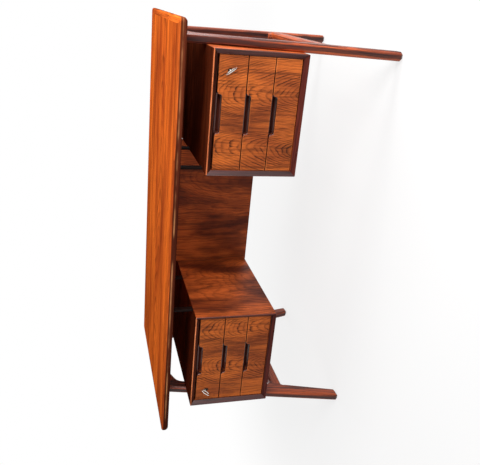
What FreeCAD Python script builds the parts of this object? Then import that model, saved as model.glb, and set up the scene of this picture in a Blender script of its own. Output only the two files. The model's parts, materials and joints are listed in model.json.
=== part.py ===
import FreeCAD, Part
import math
import os

Vector = FreeCAD.Vector

# Executive desk with a raised top: two end frames with splayed legs, two pedestals of three drawers each,
# a modesty panel and a lock in each top drawer. Sizes are in millimetres.
# The origin is on the floor under the desktop's middle. X runs to the sitter's right, Y to the back, Z up.

# Overall sizes
desk_height = 735.0
desktop_length = 1500.0
desktop_depth = 750.0

# Desktop
desktop_thickness = 25.0
lipping_width = 20.0
desktop_corner_radius = 15.0
edge_top_radius = 7.0
edge_under_chamfer = 8.0
end_overhang = 50.0  # from the desktop's end to the outside of the end frame

# End frames
leg_thickness = 30.0
leg_top_width = 46.0
leg_knee_width = 57.0
leg_knee_drop = 20.0  # widest place of the leg, below the stretcher
leg_foot_width = 42.0
leg_top_setback = 170.0  # from the desktop's front or back edge to the leg's outer edge
leg_foot_setback = 17.0
leg_edge_chamfer = 6.0
foot_chamfer = 8.0
upper_rail_height = 21.0  # at the crown of its arch
upper_rail_end_height = 66.0  # at the legs
upper_rail_flare = 40.0
stretcher_height = 44.0
stretcher_drop = 50.0  # from the pedestal's underside to the stretcher's top
stretcher_flare = 22.0
stretcher_under_radius = 10.0
joint_shoulder = 2.0  # how far a rail's shoulder line stands off the leg's straight edge
tenon_thickness = 10.0
tenon_length = 26.0
tenon_margin = 11.0  # from the rail's upper and lower edge

# Pedestals
pedestal_width = 400.0
pedestal_height = 310.0
pedestal_front_setback = 38.0
pedestal_back_setback = 52.0
raised_gap = 88.0  # between the pedestals and the desktop
panel_thickness = 16.0
case_corner_radius = 3.0
nose_chamfer = 1.2
front_nose = 2.0  # flat part of the case's front edge, outside the bevel
front_bevel_depth = 12.0
case_back_thickness = 10.0
case_back_inset = 2.0

# Spacer posts and modesty panel
post_thickness = 9.0
post_width = 25.0
post_inset = 1.0  # from the pedestal's inner face
post_spacing = 255.0
post_edge_chamfer = 2.5
posts_per_pedestal = 3
modesty_thickness = 18.0
knee_depth = 517.0  # from the desktop's front edge to the modesty panel

# Drawers
drawer_levels = ("bottom", "middle", "top")
top_front_height = 92.0
front_thickness = 18.0
front_recess = 13.0  # behind the case's front edge
front_arris = 1.4
front_side_gap = 1.5
front_gap = 3.0
front_bottom_gap = 2.0
front_top_gap = 6.0
side_thickness = 12.0
box_back_thickness = 10.0
box_lift = 3.0  # box above the front's lower edge
box_drop = 12.0  # box below the front's upper edge
rear_clearance = 80.0
bottom_thickness = 5.0
bottom_lift = 6.0
bottom_groove_side = 4.0
bottom_groove_front = 5.0

# Dovetails
tails_per_corner = 3
tail_share = 0.55  # of the spacing, at the tail's root
tail_flare = 2.0
tail_depth = 12.0

# Runners
runner_height = 11.2
runner_engagement = 5.5
runner_end_clearance = 0.3
groove_extra_depth = 0.5
groove_rest_gap = 0.2
groove_lower_gap = 0.6
groove_stop = 20.0  # from the front's back face
runner_rear_gap = 5.0

# Pulls
notch_floor_length = 106.0
notch_end_length = 16.0
notch_depth = 15.5
scoop_radius = 13.0
scoop_length = 120.0
scoop_drop = 17.0  # scoop axis below the front's upper edge
scoop_offset = 2.0  # scoop axis behind the front's back face
pull_length = 154.0
pull_thickness = 17.0
pull_height = 40.0
pull_top_gap = 0.5
pull_chamfer = 5.0

# Locks
lock_inset = 46.0  # key axis from the drawer front's outer end
key_drop = 35.0  # key axis below the front's upper edge
lock_half_width = 20.0
lock_height = 58.0
lock_thickness = 11.0
lock_wall = 1.7
bolt_inner_reach = 11.0
bolt_outer_reach = 13.0
bolt_throw = 11.0
bolt_clearance = 0.3
bolt_head_lift = 13.0  # head's lower edge above the key axis
bolt_tail_drop = 11.0
bolt_tail_start = 5.8
bolt_top_gap = 0.3
slot_clearance = 0.6
key_tilt = 37.0
key_turn = 90.0
shank_radius = 2.25
shank_bearing_gap = 0.05
bit_tip_radius = 1.2
bit_half_thickness = 0.9
keyhole_radius = 2.6
keyhole_slot_width = 2.8
keyhole_slot_length = 9.8
liner_wall = 1.0
liner_stand = 0.4
key_reach = 30.0  # from the drawer's face to the end of the bow
bow_half_length = 12.0
bow_half_width = 20.0
bow_ring_width = 4.5
bow_corner = 8.5  # cut off each corner of the bow
bow_thickness = 2.5
strike_length = 46.0
strike_width = 13.0
strike_thickness = 2.0
strike_clearance = 0.5
mortise_depth = 6.0

# Derived places
half_length = desktop_length / 2
half_depth = desktop_depth / 2
desktop_underside = desk_height - desktop_thickness
pedestal_top = desktop_underside - raised_gap
pedestal_underside = pedestal_top - pedestal_height
frame_inner = half_length - end_overhang - leg_thickness
pedestal_outer = frame_inner
pedestal_inner = pedestal_outer - pedestal_width
case_front = -half_depth + pedestal_front_setback
case_rear = half_depth - pedestal_back_setback
pedestal_depth = case_rear - case_front
case_left = pedestal_inner + panel_thickness
case_right = pedestal_outer - panel_thickness
case_floor = pedestal_underside + panel_thickness
case_ceiling = pedestal_top - panel_thickness
case_back_face = case_rear - case_back_inset - case_back_thickness

front_left = case_left + front_side_gap
front_right = case_right - front_side_gap
drawer_middle = (front_left + front_right) / 2
face_y = case_front + front_recess
joint_y = face_y + front_thickness  # back of the drawer front
box_rear = case_back_face - rear_clearance
lower_room = case_ceiling - case_floor - front_bottom_gap - front_top_gap - top_front_height - 2 * front_gap
lower_front_height = lower_room / 2
front_heights = {"bottom": lower_front_height, "middle": lower_front_height, "top": top_front_height}
front_bottoms = {"bottom": case_floor + front_bottom_gap}
front_bottoms["middle"] = front_bottoms["bottom"] + lower_front_height + front_gap
front_bottoms["top"] = front_bottoms["middle"] + lower_front_height + front_gap

scoop_y = joint_y + scoop_offset

lock_x = front_right - lock_inset
lock_top = front_bottoms["top"] + top_front_height
key_z = lock_top - key_drop
lock_front_y = joint_y - lock_thickness
lock_middle_y = joint_y - lock_thickness / 2
bit_start = key_tilt - 90
bit_radius = bolt_throw / (math.sin(math.radians(bit_start + key_turn)) - math.sin(math.radians(bit_start)))
bolt_thickness = lock_thickness - 2 * lock_wall - 2 * bolt_clearance
bit_width = bolt_thickness - bolt_clearance


def box(low, high):
    size = [b - a for a, b in zip(low, high)]
    return Part.makeBox(size[0], size[1], size[2], Vector(*low))


def prism(points, direction):
    wire = Part.makePolygon(points + points[:1])
    return Part.Face(wire).extrude(direction)


def edges_on(shape, axis, value):
    return [
        edge
        for edge in shape.Edges
        if all(abs(vertex.Point[axis] - value) < 1e-4 for vertex in edge.Vertexes)
    ]


def edges_along(shape, axis):
    return [edge for edge in shape.Edges if abs(abs(edge_direction(edge)[axis]) - 1) < 1e-6]


def edge_direction(edge):
    if not isinstance(edge.Curve, Part.Line):
        return Vector(0, 0, 0)
    return edge.Curve.Direction


def fused(shapes):
    return shapes[0].multiFuse(shapes[1:]).removeSplitter()


def mirrored(shape):
    return shape.mirror(Vector(0, 0, 0), Vector(1, 0, 0))


def desktop():
    # The edge is shaped all round first and then parted from the board along the lippings' mitres.
    slab = box((-half_length, -half_depth, desktop_underside), (half_length, half_depth, desk_height))
    slab = slab.makeFillet(desktop_corner_radius, edges_along(slab, 2))
    slab = slab.makeFillet(edge_top_radius, edges_on(slab, 2, desk_height))
    slab = slab.makeChamfer(edge_under_chamfer, edges_on(slab, 2, desktop_underside))
    inner_x = half_length - lipping_width
    inner_y = half_depth - lipping_width
    board = box((-inner_x, -inner_y, desktop_underside), (inner_x, inner_y, desk_height))
    rim = slab.cut(board)
    pieces = {"desktop_board": board}
    corners = [(-1, -1), (1, -1), (1, 1), (-1, 1)]
    names = ("front", "right", "back", "left")
    for index, name in enumerate(names):
        first = corners[index]
        second = corners[(index + 1) % len(corners)]
        far = 2 * lipping_width
        outline = [
            Vector(sx * (inner_x + reach), sy * (inner_y + reach), desktop_underside)
            for (sx, sy), reach in ((first, 0), (first, far), (second, far), (second, 0))
        ]
        wedge = prism(outline, Vector(0, 0, desktop_thickness))
        pieces["lipping_" + name] = rim.common(wedge)
    return pieces


def leg_edges():
    # Outer and inner edge of the front leg in the Y-Z plane, from the top down.
    outer_top = -half_depth + leg_top_setback
    outer_foot = -half_depth + leg_foot_setback
    knee_z = pedestal_underside - stretcher_drop - stretcher_height - leg_knee_drop
    outer_knee = outer_foot + (outer_top - outer_foot) * knee_z / desktop_underside
    outer = [(outer_top, desktop_underside), (outer_foot, 0.0)]
    inner = [
        (outer_top + leg_top_width, desktop_underside),
        (outer_knee + leg_knee_width, knee_z),
        (outer_foot + leg_foot_width, 0.0),
    ]
    return outer, inner


def frame_prism(points):
    outline = [Vector(frame_inner, y, z) for y, z in points]
    return prism(outline, Vector(leg_thickness, 0, 0))


def flipped(points):
    return [(-y, z) for y, z in points]


def arched_rail(outer, inner):
    # The arch springs from the legs' inner edges and runs on into the legs, where the blank is fused.
    slope = (inner[0][0] - inner[1][0]) / (inner[0][1] - inner[1][1])
    half_span = -inner[0][0] + slope * upper_rail_end_height
    rise = upper_rail_end_height - upper_rail_height
    radius = (half_span ** 2 + rise ** 2) / (2 * rise)
    rail_end = (outer[0][0] + inner[0][0]) / 2
    end_z = desktop_underside - upper_rail_height - radius + math.sqrt(radius ** 2 - rail_end ** 2)
    crown = Vector(frame_inner, 0, desktop_underside - upper_rail_height)
    front_foot = Vector(frame_inner, rail_end, end_z)
    back_foot = Vector(frame_inner, -rail_end, end_z)
    front_head = Vector(frame_inner, rail_end, desktop_underside)
    back_head = Vector(frame_inner, -rail_end, desktop_underside)
    edges = [
        Part.Arc(front_foot, crown, back_foot).toShape(),
        Part.LineSegment(back_foot, back_head).toShape(),
        Part.LineSegment(back_head, front_head).toShape(),
        Part.LineSegment(front_head, front_foot).toShape(),
    ]
    return Part.Face(Part.Wire(edges)).extrude(Vector(leg_thickness, 0, 0))


def end_frame():
    # Legs, upper rail and stretcher are shaped together, with their flares, and then parted at the joints.
    outer, inner = leg_edges()
    leg_outline = outer + inner[::-1]
    stretcher_top = pedestal_underside - stretcher_drop
    stretcher_bottom = stretcher_top - stretcher_height
    stretcher_end = inner[1][0] - leg_knee_width / 3
    stretcher_outline = [
        (stretcher_end, stretcher_bottom),
        (-stretcher_end, stretcher_bottom),
        (-stretcher_end, stretcher_top),
        (stretcher_end, stretcher_top),
    ]
    blank = fused([
        frame_prism(leg_outline),
        frame_prism(flipped(leg_outline)),
        arched_rail(outer, inner),
        frame_prism(stretcher_outline),
    ])
    rail_low = desktop_underside - 2 * upper_rail_end_height
    rail_high = desktop_underside - upper_rail_height
    blank = blank.makeFillet(upper_rail_flare, cross_edges(blank, rail_low, rail_high))
    blank = blank.makeFillet(stretcher_flare, cross_edges(blank, stretcher_top - 1, stretcher_top + 1))
    under = cross_edges(blank, stretcher_bottom - 1, stretcher_bottom + 1)
    blank = blank.makeFillet(stretcher_under_radius, under)
    head = edges_on(blank, 2, desktop_underside)
    rim = edges_on(blank, 0, frame_inner) + edges_on(blank, 0, frame_inner + leg_thickness)
    ends = head + edges_on(blank, 2, 0.0)
    rim = [edge for edge in rim if not any(edge.isSame(end) for end in ends)]
    blank = blank.makeChamfer(leg_edge_chamfer, rim)
    blank = blank.makeChamfer(foot_chamfer, edges_on(blank, 2, 0.0))

    margin = leg_thickness
    shoulder = [(y + joint_shoulder, z) for y, z in inner]
    region = [(outer[0][0] - margin, desktop_underside), (outer[1][0] - margin, 0.0)] + shoulder[::-1]
    front_region = frame_prism(region)
    back_region = frame_prism(flipped(region))
    rails = blank.cut(front_region).cut(back_region).Solids
    rails = sorted(rails, key=lambda solid: solid.CenterOfMass.z)
    pieces = {
        "leg_front": blank.common(front_region).Solids[0],
        "leg_back": blank.common(back_region).Solids[0],
        "stretcher": rails[0],
        "upper_rail": rails[-1],
    }
    levels = {
        "stretcher": (stretcher_bottom, stretcher_top),
        "upper_rail": (desktop_underside - upper_rail_end_height, desktop_underside),
    }
    for name, (low_z, high_z) in levels.items():
        tenon = rail_tenon(inner, low_z + tenon_margin, high_z - tenon_margin)
        back_tenon = tenon.mirror(Vector(0, 0, 0), Vector(0, 1, 0))
        pieces["leg_front"] = pieces["leg_front"].cut(tenon)
        pieces["leg_back"] = pieces["leg_back"].cut(back_tenon)
        pieces[name] = fused([pieces[name], tenon, back_tenon])
    return pieces


def rail_tenon(inner, low_z, high_z):
    # Tenon into the front leg, between two heights, square to the leg's inner edge in plan.
    slope = (inner[0][0] - inner[1][0]) / (inner[0][1] - inner[1][1])
    low_y = inner[1][0] + slope * (low_z - inner[1][1]) + joint_shoulder
    high_y = inner[1][0] + slope * (high_z - inner[1][1]) + joint_shoulder
    low_x = frame_inner + (leg_thickness - tenon_thickness) / 2
    outline = [
        Vector(low_x, low_y, low_z),
        Vector(low_x, high_y, high_z),
        Vector(low_x, high_y - tenon_length, high_z),
        Vector(low_x, low_y - tenon_length, low_z),
    ]
    return prism(outline, Vector(tenon_thickness, 0, 0))


def cross_edges(shape, low_z, high_z):
    # Edges that run across the frame's thickness, between two heights.
    return [edge for edge in edges_along(shape, 0) if low_z < edge.CenterOfMass.z < high_z]


def pedestal():
    # A square tube with mitred corners; its front edge slopes in to the drawer fronts.
    low = (pedestal_inner, case_front, pedestal_underside)
    high = (pedestal_outer, case_rear, pedestal_top)
    case = box(low, high)
    case = case.makeFillet(case_corner_radius, edges_along(case, 1))
    case = case.makeChamfer(nose_chamfer, edges_on(case, 1, case_front))
    case = case.cut(box((case_left, case_front, case_floor), (case_right, case_rear, case_ceiling)))
    spread = panel_thickness - front_nose
    case = case.cut(frustum(case_front, spread, case_front + front_bevel_depth, 0.0))

    corners = [
        (pedestal_inner, pedestal_top, 1),
        (pedestal_outer, pedestal_top, 1),
        (pedestal_outer, pedestal_underside, -1),
        (pedestal_inner, pedestal_underside, -1),
    ]
    names = ("top", "outer_side", "bottom", "inner_side")
    panels = {}
    for index, name in enumerate(names):
        first = corners[index]
        second = corners[(index + 1) % len(corners)]
        outline = [(first, -1), (first, 1), (second, 1), (second, -1)]
        outline = [mitre_point(corner, way) for corner, way in outline]
        outline = [Vector(x, case_front, z) for x, z in outline]
        panels[name] = case.common(prism(outline, Vector(0, pedestal_depth, 0)))
    panels["back"] = box(
        (case_left, case_back_face, case_floor),
        (case_right, case_back_face + case_back_thickness, case_ceiling),
    )
    return panels


def mitre_point(corner, way):
    # A point on the corner's mitre line, one panel thickness outside (way 1) or inside (way -1) the case.
    x, z, up = corner
    right = 1 if x == pedestal_outer else -1
    return (x + way * right * panel_thickness, z + way * up * panel_thickness)


def frustum(near_y, near_spread, far_y, far_spread):
    wires = []
    for y, spread in ((near_y, near_spread), (far_y, far_spread)):
        points = [
            Vector(case_left - spread, y, case_floor - spread),
            Vector(case_right + spread, y, case_floor - spread),
            Vector(case_right + spread, y, case_ceiling + spread),
            Vector(case_left - spread, y, case_ceiling + spread),
        ]
        wires.append(Part.makePolygon(points + points[:1]))
    return Part.makeLoft(wires, True, True)


def ogee_notch(top):
    # The pull's notch: a flat floor whose ends rise in a hollow and then a round to the front's upper edge.
    turn = 2 * math.atan(notch_depth / notch_end_length)
    radius = notch_end_length / (2 * math.sin(turn))
    half_run = radius * math.sin(turn / 2)
    half_rise = radius * (1 - math.cos(turn / 2))
    half_floor = notch_floor_length / 2
    half_total = half_floor + notch_end_length
    floor = top - notch_depth
    clear = top + notch_depth

    def at(x, z):
        return Vector(drawer_middle + x, face_y, z)

    edges = [
        Part.LineSegment(at(-half_floor, floor), at(half_floor, floor)).toShape(),
        Part.LineSegment(at(-half_total, clear), at(half_total, clear)).toShape(),
    ]
    for way in (-1, 1):
        low = at(way * half_floor, floor)
        hollow = at(way * (half_floor + half_run), floor + half_rise)
        middle = at(way * (half_floor + half_total) / 2, top - notch_depth / 2)
        nose = at(way * (half_total - half_run), top - half_rise)
        high = at(way * half_total, top)
        edges.append(Part.Arc(low, hollow, middle).toShape())
        edges.append(Part.Arc(middle, nose, high).toShape())
        edges.append(Part.LineSegment(high, at(way * half_total, clear)).toShape())
    wire = Part.Wire(Part.__sortEdges__(edges))
    return Part.Face(wire).extrude(Vector(0, front_thickness, 0))


def finger_scoop(top):
    # A round-bottomed hollow behind the notch's lip, as a cove cutter leaves it.
    start = Vector(drawer_middle - scoop_length / 2, scoop_y, top - scoop_drop)
    return Part.makeCylinder(scoop_radius, scoop_length, start, Vector(1, 0, 0))


def tails(root_y, way, depth, low_x, low_z, high_z):
    # Dovetails of a drawer side, widening away from their root.
    spacing = (high_z - low_z) / tails_per_corner
    half_root = spacing * tail_share / 2
    half_end = half_root + tail_flare
    result = []
    for index in range(tails_per_corner):
        middle = low_z + spacing * (index + 0.5)
        outline = [
            Vector(low_x, root_y, middle - half_root),
            Vector(low_x, root_y, middle + half_root),
            Vector(low_x, root_y + way * depth, middle + half_end),
            Vector(low_x, root_y + way * depth, middle - half_end),
        ]
        result.append(prism(outline, Vector(side_thickness, 0, 0)))
    return result


def drawer(level):
    bottom = front_bottoms[level]
    top = bottom + front_heights[level]
    box_low = bottom + box_lift
    box_high = top - box_drop
    back_face = box_rear - box_back_thickness

    front = box((front_left, face_y, bottom), (front_right, joint_y, top)).cut(ogee_notch(top))
    front = front.makeChamfer(front_arris, edges_on(front, 1, face_y))
    scoop = finger_scoop(top)
    front = front.cut(scoop)

    pull_low = (drawer_middle - pull_length / 2, joint_y, top - pull_height)
    pull_high = (drawer_middle + pull_length / 2, joint_y + pull_thickness, top - pull_top_gap)
    pull = box(pull_low, pull_high)
    lower_edge = [edge for edge in edges_on(pull, 2, pull_low[2]) if edge.CenterOfMass.y == pull_high[1]]
    pull = pull.makeChamfer(pull_chamfer, lower_edge).cut(scoop)

    panel_z = box_low + bottom_lift
    panel = box(
        (front_left + side_thickness - bottom_groove_side, joint_y - bottom_groove_front, panel_z),
        (front_right - side_thickness + bottom_groove_side, box_rear, panel_z + bottom_thickness),
    )
    back = box((front_left, back_face, panel_z + bottom_thickness), (front_right, box_rear, box_high))

    runner_z = (box_low + box_high) / 2
    sides = []
    for low_x, groove_x in ((front_left, front_left), (front_right - side_thickness, front_right)):
        front_tails = tails(joint_y, -1, tail_depth, low_x, box_low, box_high)
        back_tails = tails(back_face, 1, box_back_thickness, low_x, panel_z + bottom_thickness, box_high)
        board = box((low_x, joint_y, box_low), (low_x + side_thickness, back_face, box_high))
        high_x = low_x + side_thickness
        heel = box((low_x, back_face, box_low), (high_x, box_rear, panel_z + bottom_thickness))
        side = fused([board, heel] + front_tails + back_tails)
        depth = runner_engagement + groove_extra_depth
        groove = box(
            (groove_x - depth, joint_y + groove_stop, runner_z - runner_height / 2 - groove_lower_gap),
            (groove_x + depth, box_rear, runner_z + runner_height / 2 + groove_rest_gap),
        )
        sides.append(side.cut(groove).cut(panel))
        for tail in front_tails:
            front = front.cut(tail)
        for tail in back_tails:
            back = back.cut(tail)
        back = back.cut(groove)
    front = front.cut(panel)
    if level == "top":
        front = front.cut(lock_pocket()).cut(keyhole(liner_wall, face_y, lock_front_y))
    return {"front": front, "pull": pull, "walls": Part.Compound(sides + [back]), "bottom": panel}


def runners(level):
    bottom = front_bottoms[level]
    top = bottom + front_heights[level]
    middle_z = (bottom + box_lift + top - box_drop) / 2
    reach = front_side_gap + runner_engagement
    low_y = joint_y + groove_stop + runner_end_clearance
    strips = []
    for low_x in (case_left, case_right - reach):
        strips.append(box(
            (low_x, low_y, middle_z - runner_height / 2),
            (low_x + reach, box_rear - runner_rear_gap, middle_z + runner_height / 2),
        ))
    return strips


def keyhole(growth, low_y, high_y):
    length = high_y - low_y
    eye = Part.makeCylinder(keyhole_radius + growth, length, Vector(lock_x, low_y, key_z), Vector(0, 1, 0))
    half = keyhole_slot_width / 2 + growth
    slot = box((lock_x - half, low_y, key_z - keyhole_slot_length - growth), (lock_x + half, high_y, key_z))
    return fused([eye, slot])


def lock_pocket():
    return box(
        (lock_x - lock_half_width, lock_front_y, lock_top - lock_height),
        (lock_x + lock_half_width, joint_y, lock_top),
    )


def bolt_space(growth):
    # The bolt's room, and with no growth the bolt's own outline before its tail is cut out.
    half_y = bolt_thickness / 2 + growth
    return box(
        (lock_x - bolt_inner_reach - growth, lock_middle_y - half_y, key_z - bolt_tail_drop - growth),
        (lock_x + bolt_outer_reach + growth, lock_middle_y + half_y, lock_top),
    )


def lock():
    case = lock_pocket().cut(bolt_space(bolt_clearance))
    case = case.cut(keyhole(0.0, lock_front_y, lock_middle_y))
    bearing_radius = shank_radius + shank_bearing_gap
    bearing_start = Vector(lock_x, lock_middle_y, key_z)
    case = case.cut(Part.makeCylinder(bearing_radius, lock_thickness, bearing_start, Vector(0, 1, 0)))

    bolt = bolt_space(0.0)
    tail_room = box(
        (lock_x - bolt_inner_reach, lock_front_y, key_z - bolt_tail_drop),
        (lock_x + bolt_tail_start, joint_y, key_z + bolt_head_lift),
    )
    crown = box(
        (lock_x - bolt_inner_reach, lock_front_y, lock_top - bolt_top_gap),
        (lock_x + bolt_outer_reach, joint_y, lock_top),
    )
    tip_z = key_z + bit_radius * math.sin(math.radians(bit_start))
    slot_half = bit_tip_radius + slot_clearance
    slot = box(
        (lock_x, lock_front_y, tip_z - slot_half),
        (lock_x + bit_radius + slot_half, joint_y, tip_z + slot_half),
    )
    bolt = bolt.cut(tail_room).cut(crown).cut(slot)

    liner_low = face_y - liner_stand
    liner = keyhole(liner_wall, liner_low, lock_front_y).cut(keyhole(0.0, liner_low, lock_front_y))
    return {"case": case, "bolt": bolt, "liner": liner, "key": key()}


def key():
    # Drawn with its bit pointing along +X and then turned to where it rests in the lock.
    axis = Vector(0, 1, 0)
    bow_y = face_y - key_reach + bow_half_length
    shank_start = bow_y + bow_half_length - bow_ring_width / 2
    shank = Part.makeCylinder(shank_radius, joint_y - shank_start, Vector(lock_x, shank_start, key_z), axis)
    bit_low = lock_middle_y - bit_width / 2
    flag = box(
        (lock_x, bit_low, key_z - bit_half_thickness),
        (lock_x + bit_radius, bit_low + bit_width, key_z + bit_half_thickness),
    )
    tip = Part.makeCylinder(bit_tip_radius, bit_width, Vector(lock_x + bit_radius, bit_low, key_z), axis)

    middle = Vector(lock_x, bow_y, key_z)
    inner_corner = bow_corner - bow_ring_width * (2 - math.sqrt(2))
    bow = bow_plate(middle, bow_half_width, bow_half_length, bow_corner)
    hole = bow_plate(middle, bow_half_width - bow_ring_width, bow_half_length - bow_ring_width, inner_corner)
    bow = bow.cut(hole)
    whole = fused([shank, flag, tip, bow])
    whole.rotate(Vector(lock_x, 0, key_z), Vector(0, -1, 0), bit_start)
    return whole


def bow_plate(middle, half_width, half_length, corner):
    # Eight-sided plate, as wide as the bow or its hole.
    reach = Vector(half_width, half_length, bow_thickness / 2)
    plate = box(middle - reach, middle + reach)
    return plate.makeChamfer(corner, edges_along(plate, 2))


def strike():
    # Plate and the mortise above it, over the bolt.
    middle_x = lock_x + (bolt_outer_reach - bolt_inner_reach) / 2
    half_x = (bolt_outer_reach + bolt_inner_reach) / 2 + strike_clearance
    half_y = bolt_thickness / 2 + strike_clearance
    recess = box(
        (middle_x - strike_length / 2, lock_middle_y - strike_width / 2, case_ceiling),
        (middle_x + strike_length / 2, lock_middle_y + strike_width / 2, case_ceiling + strike_thickness),
    )
    mortise = box(
        (middle_x - half_x, lock_middle_y - half_y, case_ceiling),
        (middle_x + half_x, lock_middle_y + half_y, case_ceiling + mortise_depth),
    )
    return recess.cut(mortise), recess.fuse(mortise)


def posts():
    low_x = pedestal_inner + post_inset
    middle_y = (case_front + case_rear) / 2
    result = []
    for index in range(posts_per_pedestal):
        y = middle_y + (index - (posts_per_pedestal - 1) / 2) * post_spacing
        post = box(
            (low_x, y - post_width / 2, pedestal_top),
            (low_x + post_thickness, y + post_width / 2, desktop_underside),
        )
        result.append(post.makeChamfer(post_edge_chamfer, edges_along(post, 2)))
    return result


def modesty_panel():
    front = -half_depth + knee_depth
    return box(
        (-pedestal_inner, front, pedestal_underside),
        (pedestal_inner, front + modesty_thickness, desktop_underside),
    )


def desk():
    nodes = desktop()
    nodes["modesty_panel"] = modesty_panel()
    right = {}
    for name, shape in end_frame().items():
        right[name + "_{side}"] = shape
    plate, strike_room = strike()
    for name, shape in pedestal().items():
        if name == "top":
            shape = shape.cut(strike_room)
        right["pedestal_{side}_" + name] = shape
    for level in drawer_levels:
        for name, shape in drawer(level).items():
            right["drawer_{side}_" + level + "_" + name] = shape
    for name, shape in lock().items():
        right["lock_{side}_" + name] = shape
    for name, shape in right.items():
        nodes[name.format(side="right")] = shape
        nodes[name.format(side="left")] = mirrored(shape)

    groups = {
        "drawer_runners": [strip for level in drawer_levels for strip in runners(level)],
        "spacer_posts": posts(),
        "strike_plates": [plate],
    }
    for name, solids in groups.items():
        nodes[name] = Part.Compound(solids + [mirrored(solid) for solid in solids])
    return nodes


os.makedirs("parts", exist_ok=True)
for node, solid in desk().items():
    solid.exportStep(os.path.join("parts", node + ".step"))
    print(node, len(solid.Solids), round(solid.Volume), solid.isValid())
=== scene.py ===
import json
import math

import bmesh
import bpy
from mathutils import Matrix, Vector


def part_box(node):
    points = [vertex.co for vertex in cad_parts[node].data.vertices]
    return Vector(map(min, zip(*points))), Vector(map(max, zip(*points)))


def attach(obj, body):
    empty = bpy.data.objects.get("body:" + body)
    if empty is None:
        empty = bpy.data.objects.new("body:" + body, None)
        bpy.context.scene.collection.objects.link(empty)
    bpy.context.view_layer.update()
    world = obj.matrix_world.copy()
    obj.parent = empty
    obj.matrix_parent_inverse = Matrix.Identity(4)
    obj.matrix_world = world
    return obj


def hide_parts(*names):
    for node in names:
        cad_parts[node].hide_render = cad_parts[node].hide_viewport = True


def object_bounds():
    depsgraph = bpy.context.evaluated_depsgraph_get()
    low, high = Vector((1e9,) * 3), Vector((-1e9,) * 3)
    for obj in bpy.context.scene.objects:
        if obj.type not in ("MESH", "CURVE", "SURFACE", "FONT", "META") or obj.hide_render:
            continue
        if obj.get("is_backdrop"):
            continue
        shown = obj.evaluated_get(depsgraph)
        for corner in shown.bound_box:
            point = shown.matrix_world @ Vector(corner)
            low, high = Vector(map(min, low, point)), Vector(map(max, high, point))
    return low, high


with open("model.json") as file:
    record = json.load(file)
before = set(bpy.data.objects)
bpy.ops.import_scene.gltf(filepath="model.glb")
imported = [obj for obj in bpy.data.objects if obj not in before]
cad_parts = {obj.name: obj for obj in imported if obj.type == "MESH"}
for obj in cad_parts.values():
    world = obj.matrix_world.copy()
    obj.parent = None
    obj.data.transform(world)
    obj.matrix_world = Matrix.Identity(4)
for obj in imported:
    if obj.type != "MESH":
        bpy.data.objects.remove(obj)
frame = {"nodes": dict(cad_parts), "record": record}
cadLow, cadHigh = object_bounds()
nodes = frame["nodes"]
behaviour = frame["record"]["behaviour"]
bodyOf = {node: body for body, members in behaviour["bodies"].items() for node in members}
bothSides = ("left", "right")
mergeDistance = 1e-6
scene = bpy.context.scene
scene.view_settings.view_transform = "Standard"
print("frame loaded:", len(nodes), "nodes")

# colours are written as screen values, 0 to 255, and turned into light by the usual screen curve
screenCurve = {"white": 255, "toe": 0.04045, "toeSlope": 12.92, "offset": 0.055, "power": 2.4}


def tint(red, green, blue):
    def light(value):
        share = value / screenCurve["white"]
        if share <= screenCurve["toe"]:
            return share / screenCurve["toeSlope"]
        return ((share + screenCurve["offset"]) / (1 + screenCurve["offset"])) ** screenCurve["power"]
    return (light(red), light(green), light(blue), 1.0)


# inputs may be plain values or the sockets of other nodes
def addNode(tree, kind, inputs=None, **settings):
    node = tree.nodes.new(kind)
    for name, value in settings.items():
        setattr(node, name, value)
    for key, value in (inputs or {}).items():
        if isinstance(value, bpy.types.NodeSocket):
            tree.links.new(value, node.inputs[key])
        else:
            node.inputs[key].default_value = value
    return node


def calc(tree, operation, first, second=0.0, third=0.0):
    inputs = {0: first, 1: second, 2: third}
    return addNode(tree, "ShaderNodeMath", inputs, operation=operation).outputs[0]


def times(tree, first, second):
    return calc(tree, "MULTIPLY", first, second)


def plus(tree, first, second):
    return calc(tree, "ADD", first, second)


def parts(tree, place):
    return addNode(tree, "ShaderNodeSeparateXYZ", {0: place}).outputs


def joined(tree, first, second, third):
    return addNode(tree, "ShaderNodeCombineXYZ", {0: first, 1: second, 2: third}).outputs[0]


def vectorCalc(tree, operation, first, second):
    return addNode(tree, "ShaderNodeVectorMath", {0: first, 1: second}, operation=operation).outputs[0]


noiseMiddle = 0.5  # noise swings about this value


def noise(tree, place, scale, detail):
    inputs = {"Vector": place, "Scale": scale, "Detail": detail}
    return addNode(tree, "ShaderNodeTexNoise", inputs).outputs


# the mix node has its colours at inputs 6 and 7, and its mixed colour at output 2
def mixColour(tree, share, first, second):
    inputs = {0: share, 6: first, 7: second}
    return addNode(tree, "ShaderNodeMix", inputs, data_type="RGBA").outputs[2]


def smoothRange(tree, value, low, high):
    inputs = {"Value": value, "From Min": low, "From Max": high}
    return addNode(tree, "ShaderNodeMapRange", inputs, interpolation_type="SMOOTHSTEP").outputs[0]


def between(tree, share, low, high):
    inputs = {"Value": share, "To Min": low, "To Max": high}
    return addNode(tree, "ShaderNodeMapRange", inputs).outputs[0]


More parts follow.
